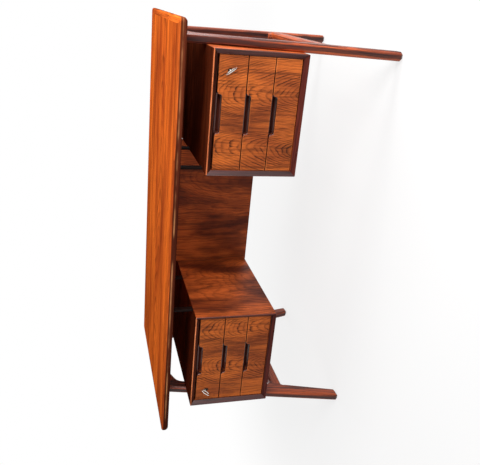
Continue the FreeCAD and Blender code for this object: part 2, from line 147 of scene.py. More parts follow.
# rosewood figure: growth rings round a pith that leans away from the face, warped three times over,
# with streaks, fine pores and slow changes of tone along the grain
figure = {
    "bigWarp": {"scale": 4.0, "detail": 2.0, "stretch": (1.0, 1.0, 0.5)},
    "midWarp": {"scale": 26.0, "detail": 3.0, "stretch": (1.0, 1.0, 0.3)},
    "fineWarp": {"scale": 95.0, "detail": 2.0, "stretch": (1.0, 1.0, 0.35)},
    "fineShare": 0.24,  # of the ripple
    "ringDarkens": (0.42, 0.88), "ringEnds": (1.0, 0.88),
    "ringVaries": 0.7, "ringLeast": 0.5,
    "breaks": {"stretch": (70.0, 70.0, 9.0), "detail": 2.0, "range": (0.3, 0.62), "share": 0.7, "least": 0.3},
    "bands": {"rings": 6.0, "detail": 1.0, "range": (0.5, 0.75), "share": 0.5},
    "pores": {"across": 620.0, "along": 18.0, "detail": 2.0, "range": (0.5, 0.7)},
    "streaks": {"across": 150.0, "along": 2.4, "detail": 3.0, "range": (0.46, 0.64)},
    "tones": {"across": 11.0, "along": 1.8, "detail": 3.0, "range": (0.32, 0.68)},
}


def figureGroup():
    group = bpy.data.node_groups.new("rosewoodFigure", "ShaderNodeTree")
    group.interface.new_socket("Place", in_out="INPUT", socket_type="NodeSocketVector")
    for name in ("Spacing", "Depth", "Lean", "Warp", "Ripple", "Curl"):
        group.interface.new_socket(name, in_out="INPUT", socket_type="NodeSocketFloat")
    for name in ("Vein", "Pore", "Streak", "Tone"):
        group.interface.new_socket(name, in_out="OUTPUT", socket_type="NodeSocketFloat")
    start = group.nodes.new("NodeGroupInput").outputs
    end = group.nodes.new("NodeGroupOutput").inputs

    def warped(place, warp, amount):
        spread = vectorCalc(group, "MULTIPLY", place, warp["stretch"])
        colour = noise(group, spread, warp["scale"], warp["detail"])["Color"]
        centred = vectorCalc(group, "SUBTRACT", colour, (noiseMiddle, noiseMiddle, noiseMiddle))
        inputs = {0: centred, "Scale": amount}
        moved = addNode(group, "ShaderNodeVectorMath", inputs, operation="SCALE").outputs[0]
        return vectorCalc(group, "ADD", place, moved)

    def marks(place, stretch, look):
        spread = vectorCalc(group, "MULTIPLY", place, stretch)
        return smoothRange(group, noise(group, spread, 1.0, look["detail"])[0], *look["range"])

    # curl shortens the streaks and tones along the grain
    def curled(look):
        return joined(group, look["across"], look["across"], times(group, start["Curl"], look["along"]))

    place = warped(start["Place"], figure["bigWarp"], start["Warp"])
    place = warped(place, figure["midWarp"], start["Ripple"])
    place = warped(place, figure["fineWarp"], times(group, start["Ripple"], figure["fineShare"]))

    across, inward, along = parts(group, place)
    depth = plus(group, times(group, along, start["Lean"]), plus(group, inward, start["Depth"]))
    square = plus(group, times(group, across, across), times(group, depth, depth))
    ring = calc(group, "DIVIDE", calc(group, "SQRT", square), start["Spacing"])
    within = calc(group, "FRACT", ring)
    darkens = smoothRange(group, within, *figure["ringDarkens"])
    ends = smoothRange(group, within, *figure["ringEnds"])
    whole = {"W": calc(group, "FLOOR", ring)}
    strength = addNode(group, "ShaderNodeTexWhiteNoise", whole, noise_dimensions="1D").outputs[0]
    strength = calc(group, "MULTIPLY_ADD", strength, figure["ringVaries"], figure["ringLeast"])
    line = times(group, times(group, darkens, ends), strength)
    breaks = figure["breaks"]
    broken = marks(place, breaks["stretch"], breaks)
    line = times(group, line, calc(group, "MULTIPLY_ADD", broken, breaks["share"], breaks["least"]))

    bands = figure["bands"]
    slow = {"W": calc(group, "DIVIDE", ring, bands["rings"]), "Scale": 1.0, "Detail": bands["detail"]}
    band = addNode(group, "ShaderNodeTexNoise", slow, noise_dimensions="1D").outputs[0]
    wide = times(group, smoothRange(group, band, *bands["range"]), bands["share"])
    vein = addNode(group, "ShaderNodeMath", {0: line, 1: wide}, operation="ADD", use_clamp=True).outputs[0]

    pores = figure["pores"]
    poreStretch = (pores["across"], pores["across"], pores["along"])
    group.links.new(vein, end["Vein"])
    group.links.new(marks(place, poreStretch, pores), end["Pore"])
    group.links.new(marks(place, curled(figure["streaks"]), figure["streaks"]), end["Streak"])
    group.links.new(marks(place, curled(figure["tones"]), figure["tones"]), end["Tone"])
    return group


rosewoodFigure = figureGroup()

# how a piece is turned so that its grain runs along the figure's third axis, its width along the first
grainTurns = {
    "upFacingFront": Matrix.Identity(3),
    "upFacingSide": Matrix(((0, 1, 0), (-1, 0, 0), (0, 0, 1))),
    "alongLength": Matrix(((0, 1, 0), (0, 0, 1), (1, 0, 0))),
    "alongDepth": Matrix(((0, 0, 1), (1, 0, 0), (0, 1, 0))),
    "alongLengthFront": Matrix(((0, 0, 1), (0, -1, 0), (1, 0, 0))),
}
poreRelief = {"rougher": 0.15, "strength": 0.1, "depth": 0.0003}
# where hands have rubbed the arrises paler, with painted highlight along them as well
wearAndHighlight = {
    "patchScale": 22.0, "patchStretch": (1.0, 1.0, 0.25), "patchDetail": 3.0, "patchRange": (0.34, 0.66),
    "share": 0.7,
}


# two leaves of veneer opened like a book, each with its arch, the second one slipped along the grain
def bookMatched(tree, place, leaves):
    across, inward, along = parts(tree, place)
    folded = calc(tree, "SUBTRACT", calc(tree, "ABSOLUTE", across), leaves["arch"])
    second = calc(tree, "GREATER_THAN", across, 0.0)
    slipped = calc(tree, "MULTIPLY_ADD", second, leaves["slip"], along)
    return joined(tree, folded, inward, slipped)


def wearAndHighlightPatches(tree, place, scale):
    return smoothRange(tree, noise(tree, place, scale, wearAndHighlight["patchDetail"])[0], *wearAndHighlight["patchRange"])


# painted highlight: a pale band across a height range, broken into patches
def paintedHighlightLine(tree, coord, place, line):
    height = parts(tree, coord)[2]
    lower = smoothRange(tree, height, line["low"], line["middle"])
    upper = smoothRange(tree, height, line["high"], line["middle"])
    band = times(tree, times(tree, lower, upper), wearAndHighlightPatches(tree, place, line["patchScale"]))
    return times(tree, band, line["share"])


# painted shade: a dark stripe up the middle of a leg, standing for the shaded middle of its rounded face
def paintedShadeStripe(tree, coord, heart):
    sway = noise(tree, coord, heart["swayScale"], heart["swayDetail"])[0]
    across = calc(tree, "ABSOLUTE", parts(tree, coord)[0])
    swayed = calc(tree, "MULTIPLY_ADD", calc(tree, "SUBTRACT", sway, noiseMiddle), heart["sway"], across)
    away = calc(tree, "ABSOLUTE", calc(tree, "SUBTRACT", swayed, heart["at"]))
    return times(tree, smoothRange(tree, away, heart["outer"], heart["inner"]), heart["share"])


def rubbedAndHighlightShare(tree, place):
    arris = addNode(tree, "ShaderNodeAttribute", attribute_name="arris").outputs["Fac"]
    spread = vectorCalc(tree, "MULTIPLY", place, wearAndHighlight["patchStretch"])
    return times(tree, times(tree, arris, wearAndHighlightPatches(tree, spread, wearAndHighlight["patchScale"])), wearAndHighlight["share"])


def makeWood(name, look):
    material = bpy.data.materials.new(name)
    material.use_nodes = True
    tree = material.node_tree
    shader = tree.nodes["Principled BSDF"]
    turn = grainTurns[look["grain"]]
    if "lean" in look:
        turn = turn @ Matrix.Rotation(math.radians(look["lean"]), 3, "X")
    coord = addNode(tree, "ShaderNodeTexCoord").outputs["Object"]
    inputs = {"Vector": coord, "Rotation": turn.to_euler(), "Location": look["shift"]}
    place = addNode(tree, "ShaderNodeMapping", inputs).outputs[0]
    if "leaves" in look:
        place = bookMatched(tree, place, look["leaves"])
    inputs = dict(look["figure"], Place=place)
    grain = addNode(tree, "ShaderNodeGroup", inputs, node_tree=rosewoodFigure).outputs
    dark = tint(*look["dark"])
    colour = mixColour(tree, grain["Tone"], tint(*look["deep"]), tint(*look["pale"]))
    # painted shade: below a given height the piece takes darker colours
    if "side" in look:
        side = look["side"]
        lower = mixColour(tree, grain["Tone"], tint(*side["deep"]), tint(*side["pale"]))
        height = parts(tree, coord)[2]
        colour = mixColour(tree, smoothRange(tree, height, side["below"], side["above"]), lower, colour)
    for output, share in (("Streak", "streaks"), ("Vein", "veins"), ("Pore", "pores")):
        colour = mixColour(tree, times(tree, grain[output], look[share]), colour, dark)
    # painted highlight line
    if "line" in look:
        line = look["line"]
        colour = mixColour(tree, paintedHighlightLine(tree, coord, place, line), colour, tint(*line["colour"]))
    if "heart" in look:
        colour = mixColour(tree, paintedShadeStripe(tree, coord, look["heart"]), colour, dark)
    # paler arrises: partly wear, partly painted highlight
    if "rubbed" in look:
        colour = mixColour(tree, rubbedAndHighlightShare(tree, place), colour, tint(*look["rubbed"]))
    rough = between(tree, grain["Pore"], look["rough"], look["rough"] + poreRelief["rougher"])
    inputs = {"Height": grain["Pore"], "Strength": poreRelief["strength"], "Distance": poreRelief["depth"]}
    bump = addNode(tree, "ShaderNodeBump", inputs, invert=True).outputs[0]
    tree.links.new(colour, shader.inputs["Base Color"])
    tree.links.new(rough, shader.inputs["Roughness"])
    tree.links.new(bump, shader.inputs["Normal"])
    shader.inputs["Specular IOR Level"].default_value = look["shine"]
    return material


tarnish = {"scale": 260.0, "detail": 3.0, "smoother": 0.06, "rougher": 0.1}


def makeMetal(name, look):
    material = bpy.data.materials.new(name)
    material.use_nodes = True
    tree = material.node_tree
    shader = tree.nodes["Principled BSDF"]
    coord = addNode(tree, "ShaderNodeTexCoord").outputs["Object"]
    spots = noise(tree, coord, tarnish["scale"], tarnish["detail"])[0]
    colour = mixColour(tree, spots, tint(*look["pale"]), tint(*look["worn"]))
    rough = between(tree, spots, look["rough"] - tarnish["smoother"], look["rough"] + tarnish["rougher"])
    tree.links.new(colour, shader.inputs["Base Color"])
    tree.links.new(rough, shader.inputs["Roughness"])
    shader.inputs["Metallic"].default_value = 1.0
    return material


frontLow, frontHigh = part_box("drawer_right_top_front")
frontMiddle = (frontLow.x + frontHigh.x) / 2
legLow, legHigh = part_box("leg_front_right")
deskTop = cadHigh.z
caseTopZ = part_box("pedestal_right_top")[1].z

wideFigure = {"Spacing": 0.008, "Depth": 0.16, "Lean": 0.10, "Warp": 0.05, "Ripple": 0.006, "Curl": 1.0}
sideFigure = {"Spacing": 0.0052, "Depth": 0.04, "Lean": 0.13, "Warp": 0.08, "Ripple": 0.008, "Curl": 1.9}
frontFigure = {"Spacing": 0.0042, "Depth": 0.03, "Lean": 0.2, "Warp": 0.06, "Ripple": 0.0075, "Curl": 1.6}
quietFigure = {"Spacing": 0.007, "Depth": 0.25, "Lean": 0.04, "Warp": 0.03, "Ripple": 0.006, "Curl": 1.0}
solidFigure = {"Spacing": 0.0036, "Depth": 0.25, "Lean": 0.02, "Warp": 0.02, "Ripple": 0.005, "Curl": 1.0}

# painted shade: the lippings' sides are darker than their tops; painted highlight: a pale line along the front
# face where the edge catches the light
lipShadedSide = {"pale": (106, 49, 30), "deep": (70, 30, 20), "below": deskTop - 0.0068, "above": deskTop - 0.0025}
lipHighlightLine = {
    "low": deskTop - 0.0155, "middle": deskTop - 0.0112, "high": deskTop - 0.0078,
    "colour": (224, 154, 100), "share": 0.55, "patchScale": 9.0,
}
lipWood = {
    "pale": (226, 109, 40), "deep": (166, 70, 28), "dark": (52, 22, 13), "rubbed": (238, 128, 60),
    "veins": 0.55, "streaks": 0.5, "pores": 0.35, "rough": 0.45, "shine": 0.0,
    "side": lipShadedSide, "line": lipHighlightLine, "figure": solidFigure,
}
topWood = {
    "pale": (230, 110, 37), "deep": (168, 70, 26), "dark": (52, 22, 13),
    "veins": 0.55, "streaks": 0.46, "pores": 0.4, "rough": 0.5, "shine": 0.0,
}
# painted shade down the middle of each leg
legShadeStripe = {
    "at": (legLow.x + legHigh.x) / 2, "inner": 0.0035, "outer": 0.0095, "share": 0.82,
    "sway": 0.012, "swayScale": 5.0, "swayDetail": 2.0,
}
solidWood = {
    "pale": (188, 85, 40), "deep": (100, 41, 27), "dark": (30, 12, 13), "rubbed": (230, 114, 50),
    "veins": 0.7, "streaks": 0.85, "pores": 0.35, "rough": 0.36, "shine": 0.3, "figure": solidFigure,
}
faceWood = {
    "pale": (200, 97, 43), "deep": (96, 39, 19), "dark": (38, 15, 9),
    "veins": 0.5, "streaks": 0.45, "pores": 0.4, "rough": 0.42, "shine": 0.12,
}
frontWood = {
    "pale": (206, 106, 42), "deep": (142, 67, 29), "dark": (42, 18, 10), "rubbed": (214, 124, 66),
    "veins": 0.9, "streaks": 0.45, "pores": 0.5, "rough": 0.42, "shine": 0.12, "figure": frontFigure,
}
# painted shade: this dark wood on the notch, the pull and the fronts' upper and lower edges stands for the shade
# in the recess and the gaps
recessShadeWood = {
    "pale": (104, 45, 30), "deep": (68, 28, 20), "dark": (24, 11, 10),
    "veins": 0.5, "streaks": 0.4, "pores": 0.4, "rough": 0.32, "shine": 0.6, "figure": quietFigure,
}
edgeWood = {
    "pale": (98, 41, 32), "deep": (68, 27, 22), "dark": (30, 12, 11), "rubbed": (150, 72, 46),
    "veins": 0.45, "streaks": 0.65, "pores": 0.5, "rough": 0.4, "shine": 0.08, "figure": quietFigure,
}
# painted highlight and painted shade: the upper arris of the case's top edge is pale, and the bevel below it is
# near black
caseTopShadedBevel = {"pale": (40, 17, 12), "deep": (30, 12, 9), "below": caseTopZ - 0.0052, "above": caseTopZ - 0.0034}
postLacquer = {
    "pale": (30, 17, 14), "deep": (22, 12, 10), "dark": (12, 7, 6),
    "veins": 0.4, "streaks": 0.3, "pores": 0.3, "rough": 0.5, "shine": 0.05, "figure": quietFigure,
}
boxWood = {
    "pale": (202, 152, 104), "deep": (176, 124, 80), "dark": (118, 74, 44),
    "veins": 0.3, "streaks": 0.25, "pores": 0.3, "rough": 0.5, "shine": 0.2,
}

centred = (0.0, 0.0, 0.0)
rightLeaves = {"arch": 0.091, "slip": 0.05}
leftLeaves = {"arch": 0.09, "slip": 0.07}
rightShift = (0.018 - frontMiddle, -frontLow.y, -0.34)
leftShift = (frontMiddle - 0.055, -frontLow.y, -0.27)
legGrain = {"grain": "upFacingSide", "shift": (0.1, 0.0, 0.0), "heart": legShadeStripe}
woodLooks = {
    "desktopVeneer": dict(topWood, figure=wideFigure, grain="alongLength", shift=(0.07, -0.735, 0.3)),
    "lippingLong": dict(lipWood, grain="alongLengthFront", shift=(0.1, 0.2, 0.0)),
    "lippingShort": dict(lipWood, grain="alongDepth", shift=(0.0, 0.1, 0.0)),
    "legWoodFront": dict(solidWood, lean=12.0, **legGrain),
    "legWoodBack": dict(solidWood, lean=-12.0, **legGrain),
    "railWood": dict(solidWood, grain="alongDepth", shift=(0.1, 0.0, 0.0)),
    # painted shade: the pedestals' tops are darker than the other case panels, as they lie in the desktop's
    # shadow
    "caseTop": dict(
        faceWood, pale=(104, 46, 23), deep=(66, 28, 14), shine=0.0,
        figure=wideFigure, grain="alongLength", shift=(0.0, -0.6, 0.1),
    ),
    "caseBottom": dict(faceWood, shine=0.0, figure=wideFigure, grain="alongLength", shift=(0.0, -0.3, 0.4)),
    "caseSide": dict(faceWood, figure=sideFigure, grain="upFacingSide", shift=(0.08, 0.27, 0.2)),
    # painted highlight on the top's front arris, painted shade on the bevel below it
    "edgeTop": dict(
        edgeWood, pale=(246, 148, 96), deep=(214, 118, 72), dark=(90, 44, 30), shine=0.02, side=caseTopShadedBevel,
        grain="alongLength", shift=centred,
    ),
    "edgeBottom": dict(edgeWood, grain="alongLength", shift=centred),
    # painted reflection: the stiles' edge colour leans to lilac, like a cool sky sheen
    "edgeStile": dict(
        edgeWood, pale=(88, 37, 33), deep=(62, 25, 24), shine=0.5, rough=0.34,
        grain="upFacingSide", shift=centred,
    ),
    "modestyVeneer": dict(faceWood, figure=sideFigure, grain="upFacingFront", shift=(-0.11, -0.14, 0.1)),
    "frontVeneerRight": dict(frontWood, leaves=rightLeaves, grain="upFacingFront", shift=rightShift),
    "frontVeneerLeft": dict(frontWood, leaves=leftLeaves, grain="upFacingFront", shift=leftShift),
    "notchWood": dict(recessShadeWood, grain="upFacingFront", shift=centred),
    "pullWood": dict(recessShadeWood, grain="alongLengthFront", shift=centred),
    "postWood": dict(postLacquer, grain="upFacingSide", shift=centred),
    "boxSideWood": dict(boxWood, figure=quietFigure, grain="alongDepth", shift=centred),
    "boxPanelWood": dict(boxWood, figure=wideFigure, grain="alongLength", shift=centred),
}
metalLooks = {
    "keyNickel": {"pale": (236, 236, 232), "worn": (212, 210, 202), "rough": 0.22},
    "plateSteel": {"pale": (112, 106, 98), "worn": (84, 78, 70), "rough": 0.42},
    "plateBlack": {"pale": (28, 25, 23), "worn": (14, 13, 12), "rough": 0.5},
    "boltBrass": {"pale": (196, 158, 92), "worn": (158, 122, 68), "rough": 0.3},
    "screwSteel": {"pale": (150, 146, 138), "worn": (110, 104, 96), "rough": 0.35},
}
woods = {name: makeWood(name, look) for name, look in woodLooks.items()}
metals = {name: makeMetal(name, look) for name, look in metalLooks.items()}
print("materials made:", len(woods) + len(metals))

finishOf = {
    "desktop_board": woods["desktopVeneer"],
    "lipping_front": woods["lippingLong"],
    "lipping_back": woods["lippingLong"],
    "lipping_left": woods["lippingShort"],
    "lipping_right": woods["lippingShort"],
    "modesty_panel": woods["modestyVeneer"],
    "spacer_posts": woods["postWood"],
    "drawer_runners": woods["boxSideWood"],
    "strike_plates": metals["plateSteel"],
}
panelWoods = {
    "top": "caseTop", "bottom": "caseBottom", "outer_side": "caseSide", "inner_side": "caseSide",
    "back": "modestyVeneer",
}
lockMetals = {"case": "plateSteel", "liner": "plateSteel", "bolt": "boltBrass", "key": "keyNickel"}
for side in bothSides:
    finishOf["leg_front_" + side] = woods["legWoodFront"]
    finishOf["leg_back_" + side] = woods["legWoodBack"]
    for piece in ("upper_rail", "stretcher"):
        finishOf[piece + "_" + side] = woods["railWood"]
    for panel, wood in panelWoods.items():
        finishOf["pedestal_{}_{}".format(side, panel)] = woods[wood]
    for level in ("top", "middle", "bottom"):
        drawer = "drawer_{}_{}_".format(side, level)
        finishOf[drawer + "front"] = woods["frontVeneer" + side.capitalize()]
        finishOf[drawer + "pull"] = woods["pullWood"]
        finishOf[drawer + "walls"] = woods["boxSideWood"]
        finishOf[drawer + "bottom"] = woods["boxPanelWood"]
    for part, finish in lockMetals.items():
        finishOf["lock_{}_{}".format(side, part)] = metals[finish]
for node, finish in finishOf.items():
    nodes[node].data.materials.clear()
    nodes[node].data.materials.append(finish)
print("finishes set:", len(finishOf), "of", len(nodes))

# eased arrises: a merged copy of the piece whose chamfers are rounded
easing = {
    "width": {
        "leg": 0.0041, "upper_rail": 0.0041, "stretcher": 0.0041, "lipping": 0.004,
        "drawer": 0.0009, "pedestal": 0.0004,
    },
    "segments": 4, "minAngle": 30, "maxAngle": 65, "flatAngle": 0.5, "sharpAngle": 32,
    "mitreAxis": {"lipping": 2, "pedestal": 1}, "mitreShare": 0.99,  # edges along this axis stay sharp
    "rubbedDepth": 0.012,  # the lippings' arrises are rubbed and painted paler as highlight only this far down
}


def pieceName(node):
    words = node.split("_")
    return words[0] + "".join(word.capitalize() for word in words[1:])


# points that lie wholly within the rounded arrises, read by the wood's rubbed and painted-highlight colour
def markArrises(mesh, lowest):
    flat = {vertex.index for vertex in mesh.vertices if vertex.co.z < lowest}
    for face in mesh.polygons:
        if face.material_index == 0:
            flat.update(face.vertices)
        face.material_index = 0
    arris = mesh.attributes.new("arris", "FLOAT", "POINT")
    for index in range(len(mesh.vertices)):
        arris.data[index].value = 0.0 if index in flat else 1.0


# only the edges of chamfers are rounded, not the mitres
def isChamfer(edge, kind):
    if len(edge.link_faces) != 2:
        return False
    axis = easing["mitreAxis"].get(kind)
    along = (edge.verts[1].co - edge.verts[0].co).normalized()
    if axis is not None and abs(along[axis]) > easing["mitreShare"]:
        return False
    return easing["minAngle"] < math.degrees(edge.calc_face_angle()) < easing["maxAngle"]


def mergedMesh(node, kind):
    mesh = nodes[node].data.copy()
    shape = bmesh.new()
    shape.from_mesh(mesh)
    bmesh.ops.remove_doubles(shape, verts=shape.verts, dist=mergeDistance)
    flatAngle = math.radians(easing["flatAngle"])
    bmesh.ops.dissolve_limit(shape, angle_limit=flatAngle, verts=shape.verts, edges=shape.edges)
    weight = shape.edges.layers.float.new("bevel_weight_edge")
    for edge in shape.edges:
        edge[weight] = 1.0 if isChamfer(edge, kind) else 0.0
    shape.to_mesh(mesh)
    shape.free()
    return mesh


def easedCopy(node, kind):
    mesh = mergedMesh(node, kind)
    mesh.materials.append(finishOf[node])  # the bevel puts its faces in this second slot
    blank = bpy.data.objects.new(pieceName(node) + "Blank", mesh)
    scene.collection.objects.link(blank)
    bevel = blank.modifiers.new("ease", "BEVEL")
    bevel.limit_method = "WEIGHT"
    bevel.width = easing["width"][kind]
    bevel.segments = easing["segments"]
    bevel.material = 1
    plain = bpy.data.meshes.new_from_object(blank.evaluated_get(bpy.context.evaluated_depsgraph_get()))
    bpy.data.objects.remove(blank)
    markArrises(plain, deskTop - easing["rubbedDepth"] if kind == "lipping" else 0.0)
    plain.shade_smooth()
    plain.set_sharp_from_angle(angle=math.radians(easing["sharpAngle"]))
    piece = bpy.data.objects.new(pieceName(node), plain)
    scene.collection.objects.link(piece)
    plain.materials.clear()
    plain.materials.append(finishOf[node])
    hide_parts(node)
    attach(piece, bodyOf[node])
    return piece


def paintFaces(piece, finish, chosen):
    piece.data.materials.append(finish)
    for face in piece.data.polygons:
        if chosen(face.center, face.normal):
            face.material_index = 1


# painted shade: a drawer front is dark in its notch and along its upper and lower edges, where the recess and the
# gaps between drawers are shaded
notch = {"halfLength": 0.0695, "depth": 0.0158, "facing": 0.97, "edgeFacing": 0.9}


def easedFront(node):
    low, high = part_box(node)
    middleX = (low.x + high.x) / 2
    floorZ = high.z - notch["depth"]

    def isPaintedShade(place, facing):
        within = abs(place.x - middleX) < notch["halfLength"] and place.z > floorZ
        return within and abs(facing.y) < notch["facing"] or abs(facing.z) > notch["edgeFacing"]

    front = easedCopy(node, "drawer")
    paintFaces(front, woods["notchWood"], isPaintedShade)
    return front


# the bevelled front edges of a pedestal's panels
caseEdge = {
    "depth": 0.0125, "facing": -0.3,
    "woods": {"top": "edgeTop", "bottom": "edgeBottom", "outer_side": "edgeStile", "inner_side": "edgeStile"},
}


def easedPanel(node, panel):
    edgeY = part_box(node)[0].y + caseEdge["depth"]

    def isEdge(place, facing):
        return place.y < edgeY and facing.y < caseEdge["facing"]

    case = easedCopy(node, "pedestal")
    paintFaces(case, woods[caseEdge["woods"][panel]], isEdge)
    return case


eased = []
for node in sorted(nodes):
    for kind in ("leg", "upper_rail", "stretcher", "lipping"):
        if node.startswith(kind + "_"):
            eased.append(easedCopy(node, kind))
    if node.startswith("drawer_") and node.endswith("_front"):
        eased.append(easedFront(node))
    panel = node.split("_", 2)[-1]
    if node.startswith("pedestal_") and panel in caseEdge["woods"]:
        eased.append(easedPanel(node, panel))
print("eased pieces:", len(eased))

# slotted screws: one set of points per body, each with the way its head faces;
# the slot is cut by a bar, its length a share of the radius and its lift a share of the height
screw = {"sides": 20, "topShare": 0.72, "slotShare": 0.22, "slotLength": 3.0, "slotLift": 0.85, "seed": 7}


def screwTree():
    tree = bpy.data.node_groups.new("slottedScrews", "GeometryNodeTree")
    tree.interface.new_socket("Points", in_out="INPUT", socket_type="NodeSocketGeometry")
    for name in ("Head radius", "Head height", "Slot width"):
        tree.interface.new_socket(name, in_out="INPUT", socket_type="NodeSocketFloat")
    tree.interface.new_socket("Seed", in_out="INPUT", socket_type="NodeSocketInt")
    tree.interface.new_socket("Finish", in_out="INPUT", socket_type="NodeSocketMaterial")
    tree.interface.new_socket("Screws", in_out="OUTPUT", socket_type="NodeSocketGeometry")
    start = tree.nodes.new("NodeGroupInput").outputs
    end = tree.nodes.new("NodeGroupOutput").inputs
    radius, height = start["Head radius"], start["Head height"]

    inputs = {
        "Vertices": screw["sides"], "Radius Top": times(tree, radius, screw["topShare"]),
        "Radius Bottom": radius, "Depth": height,
    }
    head = addNode(tree, "GeometryNodeMeshCone", inputs).outputs[0]
    slotSize = joined(tree, times(tree, radius, screw["slotLength"]), start["Slot width"], height)
    slotPlace = joined(tree, 0.0, 0.0, times(tree, height, screw["slotLift"]))
    bar = addNode(tree, "GeometryNodeMeshCube", {"Size": slotSize}).outputs[0]
    inputs = {"Geometry": bar, "Translation": slotPlace}
    slot = addNode(tree, "GeometryNodeTransform", inputs).outputs[0]
    cut = addNode(tree, "GeometryNodeMeshBoolean", {0: head, 1: slot}, operation="DIFFERENCE").outputs[0]

    inputs = {"Name": "facing"}
    facing = addNode(tree, "GeometryNodeInputNamedAttribute", inputs, data_type="FLOAT_VECTOR").outputs[0]
    upright = addNode(tree, "FunctionNodeAlignRotationToVector", {"Vector": facing}, axis="Z").outputs[0]
    inputs = {2: 0.0, 3: math.pi, "Seed": start["Seed"]}  # any angle up to half a turn
    spin = addNode(tree, "FunctionNodeRandomValue", inputs, data_type="FLOAT").outputs[1]
    spinTurn = addNode(tree, "FunctionNodeAxisAngleToRotation", {"Angle": spin}).outputs[0]
    inputs = {0: upright, 1: spinTurn}
    turn = addNode(tree, "FunctionNodeRotateRotation", inputs, rotation_space="LOCAL").outputs[0]

    inputs = {"Points": start["Points"], "Instance": cut, "Rotation": turn}
    placed = addNode(tree, "GeometryNodeInstanceOnPoints", inputs).outputs[0]
    plain = addNode(tree, "GeometryNodeRealizeInstances", {"Geometry": placed}).outputs[0]
    inputs = {"Geometry": plain, "Material": start["Finish"]}
    painted = addNode(tree, "GeometryNodeSetMaterial", inputs).outputs[0]
    tree.links.new(painted, end["Screws"])
    return tree


slottedScrews = screwTree()


def addScrews(name, body, points, look):
    mesh = bpy.data.meshes.new(name)
    mesh.from_pydata([place for place, facing in points], [], [])
    facings = mesh.attributes.new("facing", "FLOAT_VECTOR", "POINT")
    for index, (place, facing) in enumerate(points):
        facings.data[index].vector = facing
    blank = bpy.data.objects.new(name + "Points", mesh)
    scene.collection.objects.link(blank)
    modifier = blank.modifiers.new("screws", "NODES")
    modifier.node_group = slottedScrews
    values = {
        "Head radius": look["radius"], "Head height": look["height"],
        "Slot width": look["radius"] * screw["slotShare"],
        "Seed": screw["seed"], "Finish": look["finish"],
    }
    for item in slottedScrews.interface.items_tree:
        if item.in_out == "INPUT" and item.name in values:
            modifier[item.identifier] = values[item.name]
    plain = bpy.data.meshes.new_from_object(blank.evaluated_get(bpy.context.evaluated_depsgraph_get()))
    blank.modifiers.remove(modifier)
    bpy.data.objects.remove(blank)
    piece = bpy.data.objects.new(name, plain)
    scene.collection.objects.link(piece)
    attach(piece, body)


def boxOrder(box):
    return round(box[0].x, 4), round(box[0].z, 4)  # to a tenth of a millimetre


# the box of each separate solid in a node
def islandBoxes(node):
    shape = bmesh.new()
    shape.from_mesh(nodes[node].data)
    bmesh.ops.remove_doubles(shape, verts=shape.verts, dist=mergeDistance)
    unseen = set(shape.verts)
    boxes = []
    while unseen:
        waiting = [unseen.pop()]
        island = []
        while waiting:
            vert = waiting.pop()
            island.append(vert.co.copy())
            for edge in vert.link_edges:
                other = edge.other_vert(vert)
                if other in unseen:
                    unseen.remove(other)
                    waiting.append(other)
        boxes.append([Vector(pick(place[axis] for place in island) for axis in range(3)) for pick in (min, max)])
    shape.free()
    return sorted(boxes, key=boxOrder)


runnerScrews = {"radius": 0.0034, "height": 0.00025, "finish": metals["screwSteel"], "along": (0.1, 0.5, 0.9)}
points = []
for low, high in islandBoxes("drawer_runners"):
    facesRight = (low.x + high.x) / 2 < math.copysign(frontMiddle, low.x)
    for share in runnerScrews["along"]:
        place = (high.x if facesRight else low.x, low.y + (high.y - low.y) * share, (low.z + high.z) / 2)
        points.append((place, (1.0 if facesRight else -1.0, 0.0, 0.0)))
addScrews("runnerScrews", "desk", points, runnerScrews)

strikeScrews = {"radius": 0.0027, "height": 0.0004, "finish": metals["boltBrass"], "inset": 0.0052}
points = []
for low, high in islandBoxes("strike_plates"):
    for x in (low.x + strikeScrews["inset"], high.x - strikeScrews["inset"]):
        points.append(((x, (low.y + high.y) / 2, low.z), (0.0, 0.0, -1.0)))
addScrews("strikeScrews", "desk", points, strikeScrews)

backScrews = {"radius": 0.0032, "height": 0.0007, "finish": metals["screwSteel"], "inset": 0.012}
points = []
for side in bothSides:
    low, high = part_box("pedestal_{}_back".format(side))
    inset = backScrews["inset"]
    middle = (low + high) / 2
    for x in (low.x + inset, middle.x, high.x - inset):
        for z in (low.z + inset, middle.z, high.z - inset):
            if x != middle.x or z != middle.z:
                points.append(((x, high.y, z), (0.0, 1.0, 0.0)))
addScrews("backScrews", "desk", points, backScrews)

lockScrews = {"radius": 0.0026, "height": 0.0006, "finish": metals["boltBrass"], "inset": 0.005}
for side in bothSides:
    low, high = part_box("lock_{}_case".format(side))
    inset = lockScrews["inset"]
    corners = [(x, z) for x in (low.x + inset, high.x - inset) for z in (low.z + inset, high.z - inset)]
    points = [((x, high.y, z), (0.0, 1.0, 0.0)) for x, z in corners]
    addScrews("lockScrews" + side.capitalize(), "drawer_{}_top".format(side), points, lockScrews)
print("screws set")

bandSharpAngle = 50


# a closed band through rows of points, each row going once round
def addBand(name, rows, body, finish):
    count, steps = len(rows), len(rows[0])
    faces = []
    for row in range(count):
        for step in range(steps):
            here, beyond = row * steps, (row + 1) % count * steps
            nextStep = (step + 1) % steps
            faces.append((here + step, beyond + step, beyond + nextStep, here + nextStep))
    mesh = bpy.data.meshes.new(name)
    mesh.from_pydata([place for row in rows for place in row], [], faces)
    shape = bmesh.new()
    shape.from_mesh(mesh)
    bmesh.ops.recalc_face_normals(shape, faces=shape.faces)
    shape.to_mesh(mesh)
    shape.free()
    mesh.shade_smooth()
    mesh.set_sharp_from_angle(angle=math.radians(bandSharpAngle))
    mesh.materials.append(finish)
    piece = bpy.data.objects.new(name, mesh)
    scene.collection.objects.link(piece)
    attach(piece, body)


